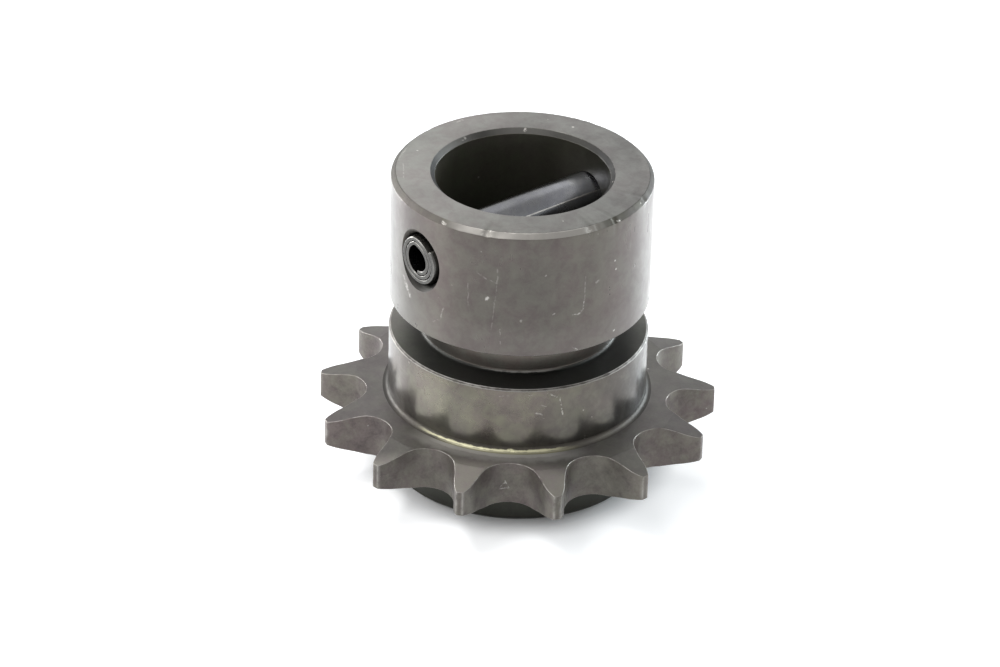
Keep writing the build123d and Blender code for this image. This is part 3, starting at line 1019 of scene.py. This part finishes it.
# %% The fillet, the neck, the groove and its lip
# Painted dark as shade in the corner, and darker still at both ends along TO_50. Its pale line,
# facing about -50 degrees, is a painted highlight in the yellowish colour given here.
dark_steel("base_fillet", (0.060, 0.053, 0.047), (0.060, 0.055, 0.045), 0.5, coat=0,
           bare_or_highlight=(0.52, 0.50, 0.33), metallic=0.7,
           skin=dict(fades=[(TO_50, -19.8, -16.5, 0.4, 1), (TO_50, 14.5, 19, 1, 0.4)]),
           wear=dict(nicks=0.02, marks=FILLET_MARKS,
                     edges=[(HUB + 0.25, PLATE_TOP + 0.25, 0.24, 0.8, -51, 27),
                            (HUB + 0.7, PLATE_TOP + 0.08, 0.6, 0.42, -44, 24)]))
# Painted light and shade: lighter towards its top and darker at both ends along TO_50.
dark_steel("neck", (0.125, 0.104, 0.090), (0.110, 0.105, 0.090), 0.35, coat=0, metallic=0.5,
           ring_height=0.15,
           skin=dict(ring_tone=0.5, mottled=0.4,
                     fades=[(UP, 23.6, 25, 0.8, 1.3), (TO_50, -13, -6, 0.5, 1),
                            (TO_50, 7, 13, 1, 0.65)]), wear=dict(nicks=0.05))
# Painted almost black, as shade in the recess, and lighter at both ends along TO_50 as painted
# light, with a painted highlight line at the neck's foot facing -38 degrees.
dark_steel("groove", (0.023, 0.022, 0.020), (0.021, 0.022, 0.018), 0.5, coat=0, metallic=0.6,
           skin=dict(fades=[(TO_50, -17.8, -12, 5, 1), (TO_50, 15, 18, 1, 2.6)]),
           wear=dict(nicks=0.05, edges=[(NECK + 0.1, GROOVE_LOW + 0.25, 0.2, 0.5, -38, 14)]))
# Painted darker than the collar below, as shade at the groove's mouth. Its edges are rubbed.
dark_steel("lip", (0.05, 0.045, 0.042), (0.05, 0.047, 0.04), 0.5, coat=0, metallic=0.7,
           wear=dict(edges=[(HUB, GROOVE_LOW - LIP_CHAMFER, 0.2, 0.4, -80, 180),
                            (HUB - LIP_CHAMFER, GROOVE_LOW, 0.2, 0.4, -80, 180)]))

# %% [markdown]
# The toothed plate has next to no oil. Its sides and the walls of its teeth are dull and
# mottled, with a rugged relief, and their edges are rubbed bright. Their light and shade are
# partly
# painted: bright bands beside the fillet, tooth sides lighter towards TO_314, and walls lighter
# at both ends along TO_50. The foot under it is painted dark, as the shade under the plate.

# %% The plate and the foot
# Painted light and shade: lighter towards TO_314 past 20.5 mm, darker towards TO_50 past 17 mm,
# and broad bands beside the fillet facing about -48 degrees, a painted pool of light.
dark_steel("tooth_sides", (0.079, 0.068, 0.066), (0.076, 0.072, 0.062), 0.50, coat=0.1,
           metallic=0.5, rugged=0.1,
           skin=dict(ring_tone=0.02, mottled=0.35, grain=0.4, front=(1.7, 20.5, 24.5),
                     fades=[(TO_50, 17, 22, 1, 0.87)]),
           wear=dict(nicks=0.25, nick_size=0.09, rubbed=1.0,
                     edges=[(HUB + 0.7, PLATE_TOP, 1.7, 0.8, -48, 27),
                            (HUB + 0.9, PLATE_TOP, 2.8, 0.42, -48, 32)]))
# Painted lighter at both ends along TO_50.
dark_steel("tooth_walls", (0.113, 0.0915, 0.088), (0.107, 0.099, 0.083), 0.50, coat=0.1,
           metallic=0.5, rugged=0.12,
           skin=dict(cloudy=0.3, mottled=0.7, grain=0.6,
                     fades=[(TO_50, -24, -17, 1.15, 1), (TO_50, 16.5, 20.5, 1, 1.2)]),
           wear=dict(nicks=0.3, nick_size=0.09, rubbed=1.0, marks=TOOTH_MARKS))
# Painted dark, as the shade under the plate.
dark_steel("foot", (0.032, 0.032, 0.026), (0.031, 0.032, 0.025), 0.45, coat=0.1,
           metallic=0.7, wear=dict(nicks=0.1))

# %% [markdown]
# The top face was faced off, and it is painted lighter towards 230 degrees and towards two sides.
# Its rims took the knocks, so their bevels are nicked and rubbed, and they carry painted light
# and shade too. Inside, the bore and the cross hole are dark, and lit mostly from their mouths,
# with painted light and shade on their walls.

# %% The end faces, the bevels and the two holes
# Painted light: lighter towards 230 degrees, towards TO_50 past 16 mm and towards TO_140.
dark_steel("end_faces", (0.096, 0.088, 0.083), (0.094, 0.095, 0.085), 0.40, coat=0.4,
           turned=0.5,
           skin=dict(painted_light=0.50, fades=[(TO_50, 16, 18.5, 1, 1.42), (TO_140, 11, 17, 1, 1.14)]),
           wear=dict(nicks=0.3, marks=TOP_MARKS))
# Painted light and shade along TO_50, and a broad painted light band facing about -37 degrees.
# The thin line on the top edge there is partly wear and partly a painted highlight.
dark_steel("bevels", (0.064, 0.058, 0.054), (0.064, 0.061, 0.052), 0.55, coat=0,
           skin=dict(fades=[(TO_50, 6, 10.5, 1.1, 0.9), (TO_50, -19, -15.5, 0.6, 1),
                            (TO_50, -12.5, -10, 1.15, 1), (TO_50, 16.5, 18.5, 1, 0.7)]),
           wear=dict(nicks=0.5, marks=RIM_MARKS,
                     edges=[(HUB - BEVEL_MIDDLE, TOP - BEVEL_MIDDLE, 1.5, 0.47, -37, 31),
                            (HUB - CHAMFER, TOP, 0.2, 0.8, -36, 28)]))
# Painted dark as shade in the bore's mouth, darker still at both ends along TO_50, with two
# painted light patches facing 143 and 196 degrees.
dark_steel("mouth", (0.030, 0.028, 0.025), (0.030, 0.029, 0.025), 0.6, coat=0, metallic=0.6,
           skin=dict(fades=[(TO_50, -12.5, -9, 0.2, 1), (TO_50, 8, 12.5, 1, 0.2)]),
           wear=dict(nicks=0.5, marks=MOUTH_MARKS,
                     edges=[(BORE + CHAMFER, TOP, 0.12, 0.3, 0, 180),
                            (BORE, TOP - CHAMFER, 0.1, 0.15, 0, 180),
                            (BORE + BEVEL_MIDDLE, TOP - BEVEL_MIDDLE, 1.5, 0.2, 143, 5),
                            (BORE + BEVEL_MIDDLE, TOP - BEVEL_MIDDLE, 1.5, 0.18, 196, 8)]))
# Painted lighter towards -TO_50 and darker towards TO_50, with a painted light patch facing 97.
dark_steel("bore", (0.078, 0.072, 0.058), (0.071, 0.073, 0.052), 0.36, metallic=0.5,
           skin=dict(fades=[(TO_50, 6, 12, 1, 0.4), (TO_50, -6, 6, 1.2, 0.8)]),
           wear=dict(nicks=0.03, edges=[(BORE, 42.5, 5, 0.07, 97, 10)]))
# Painted darker low and lighter high, and lighter from about 11 to 15 mm along the pin.
dark_steel("cross_hole", (0.060, 0.056, 0.052), (0.060, 0.057, 0.050), 0.55, coat=0,
           metallic=0.8,
           skin=dict(fades=[(UP, 35.2, 43, 0.45, 2.4), (ALONG_PIN, 10.5, 12.2, 1, 4),
                            (ALONG_PIN, 13.5, 15, 1, 0.25)]), wear=dict(nicks=0.05))

# %% The pin, and all the finishes on their pieces
# Painted shade outside the strip's painted highlight band, and painted lighter towards +Y.
dark_steel("rolled_strip", (0.140, 0.142, 0.155), (0.140, 0.142, 0.145), 0.30,
           skin=dict(painted_shade=0.28, fades=[(ALONG_PIN, 1, 12, 0.78, 1.7)]),
           wear=dict(nicks=0.03, rubbed=0.3))
dark_steel("swaged_ends", (0.075, 0.073, 0.070), (0.075, 0.074, 0.068), 0.30,
           wear=dict(nicks=0.03, rubbed=0.6))
for zone in ZONES:
    sprocket.data.materials.append(bpy.data.materials[zone])
for zone in ("rolled_strip", "swaged_ends"):
    pin.data.materials.append(bpy.data.materials[zone])
print("finishes:", len(sprocket.data.materials), "on the sprocket,",
      len(pin.data.materials), "on the pin")

# %% [markdown]
# ## Put the pieces in place
#
# Both pieces belong to the one rigid body, and each stands in for its solid, which stays behind
# for weight and contact.

# %% Ride and replace
for piece, node, slot in ((sprocket, "sprocket", "body_steel"), (pin, "spring_pin", "pin_steel")):
    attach(piece, "root")
    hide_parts(node)
print("riding on root:", sprocket.name, "and", pin.name)

# %% [markdown]
# ## A white table, soft light and the camera
#
# The part lies on glossy white board under broad soft light. Metal shows what is around it, so
# the light is not a point but large panels and a pale sky. The table and the sky come out white
# to the camera and in the metal, and light the part no more for it. Close under the teeth the
# table's glow is turned down, a painted contact shadow that seats the part on it.


# %% The table
def seen_or_mirrored(tree):
    """One for a ray from the camera, from a glossy surface or through glass, zero for others."""
    path = put(tree, "ShaderNodeLightPath").outputs
    either = sums(tree, "MAXIMUM", path["Is Camera Ray"], path["Is Glossy Ray"])
    return sums(tree, "MAXIMUM", either, path["Is Transmission Ray"])


TABLE_HALF = 1.5  # metres
GLOW_FROM, GLOW_TO = 0.0185, 0.0248  # metres from the middle of the foot; the glow rises between them, a painted contact shadow
corners = np.array([[-1, -1, 0], [1, -1, 0], [-1, 1, 0], [1, 1, 0]]) * TABLE_HALF
table = bpy.data.meshes.new("table")
table.from_pydata(corners.tolist(), [], [(0, 1, 3, 2)])
table_piece = show("table", table)
board = bpy.data.materials.new("white_board")
tree = bare_tree(board)
place = object_place(tree)
shader = put(tree, "ShaderNodeBsdfPrincipled",
             {"Base Color": (0.86, 0.865, 0.87, 1),
              "Roughness": ramp(tree, noise(tree, place, 30.0, 3.0), 0.2, 0.8, 0.16, 0.22)})
# The glow is turned down close to the foot: a painted contact shadow under the teeth.
strength = ramp(tree, vectors(tree, "LENGTH", place), GLOW_FROM, GLOW_TO, 0.05, 0.5)
glow = put(tree, "ShaderNodeEmission", {"Color": (0.97, 0.985, 1, 1), "Strength": strength})
both = put(tree, "ShaderNodeAddShader", {0: shader.outputs[0], 1: glow.outputs[0]})
mixed = put(tree, "ShaderNodeMixShader",
            {0: seen_or_mirrored(tree), 1: shader.outputs[0], 2: both.outputs[0]})
put(tree, "ShaderNodeOutputMaterial", {"Surface": mixed.outputs[0]})
table.materials.append(board)
print("table:", 2 * TABLE_HALF, "m square")

# %% [markdown]
# ### The sky
#
# The sky lights the part evenly and weakly. The camera and the metal see it white.

# %% The sky
SKY_LIGHT = 0.3
world = bpy.data.worlds.new("pale_sky")
bpy.context.scene.world = world
tree = bare_tree(world)
strength = ramp(tree, seen_or_mirrored(tree), 0.0, 1.0, SKY_LIGHT, 1.0)
sky = put(tree, "ShaderNodeBackground", {"Color": (1, 1, 1, 1), "Strength": strength})
put(tree, "ShaderNodeOutputWorld", {"Surface": sky.outputs[0]})
print("sky lights at", SKY_LIGHT)

# %% [markdown]
# ### Soft panels
#
# Each panel is a square area lamp. Its place is given as someone standing at the camera would
# say it: metres to the right, away and up.

# %% The panels
VIEW_TURN = np.radians(50.35)  # from +Y round to the way the camera looks
AIM = Vector((0, 0, 0.02))


def panel(name, rightwards, away, upwards, size, power, tint=(1, 1, 1)):
    """A square lamp turned towards the part. Right and away are turned from the camera's sense
    into X and Y by a rotation about Z."""
    x = rightwards * np.cos(VIEW_TURN) - away * np.sin(VIEW_TURN)
    y = rightwards * np.sin(VIEW_TURN) + away * np.cos(VIEW_TURN)
    light = bpy.data.lights.new(name, "AREA")
    light.shape, light.size, light.energy, light.color = "SQUARE", size, power, tint
    lamp = show(name, light)
    lamp.location = (x, y, upwards)
    lamp.rotation_mode = "QUATERNION"
    lamp.rotation_quaternion = (AIM - lamp.location).to_track_quat("-Z", "Y")
    print(f"{name}: {power} W over {size} m")


panel("overhead_left", -0.3, 0, 0.75, 0.25, 2.1)
panel("high_front_left", -0.3, -0.4, 0.7, 0.4, 1.1)
panel("left", -0.7, -0.1, 0.3, 0.5, 2.3)
panel("right", 0.7, 0.1, 0.4, 0.4, 1.0, (0.9, 0.97, 1))
panel("back", 0, 0.7, 0.6, 0.6, 1.2)
panel("low_back_left", -0.6, 0.45, 0.15, 0.3, 4.2)
panel("low_back_right", 0.6, 0.45, 0.15, 0.3, 4.8, (0.86, 0.95, 1))

# %% [markdown]
# ## The camera
#
# A long lens looks down at about 30 degrees from some 75 cm away, with the pin's near end to
# the left. The camera leans a degree and a half to one side. Its three axes are worked out
# from the two viewing angles and the lean, as columns of a rotation.

# %% Camera
LENS, TILT, LEAN = 180.71, np.radians(30.387), np.radians(-1.508)
STAND = np.array([0.4881, -0.4080, 0.3934])
ahead = np.array([-np.sin(VIEW_TURN) * np.cos(TILT), np.cos(VIEW_TURN) * np.cos(TILT),
                  -np.sin(TILT)])
right = np.array([np.cos(VIEW_TURN), np.sin(VIEW_TURN), 0])
up = np.cross(right, ahead)
right_leant = np.cos(LEAN) * right - np.sin(LEAN) * up
up_leant = np.sin(LEAN) * right + np.cos(LEAN) * up
eye = bpy.data.cameras.new("camera")
eye.lens, eye.sensor_width, eye.clip_start, eye.clip_end = LENS, 36.0, 0.01, 20.0
camera = show("camera", eye)
turned = np.stack([right_leant, up_leant, -ahead], 1)
camera.matrix_world = Matrix.Translation(STAND.tolist()) @ Matrix(turned.tolist()).to_4x4()
bpy.context.scene.camera = camera
bpy.context.scene.view_settings.view_transform = "Standard"
print(f"camera {np.linalg.norm(STAND) * 100:.0f} cm from the middle of the foot")
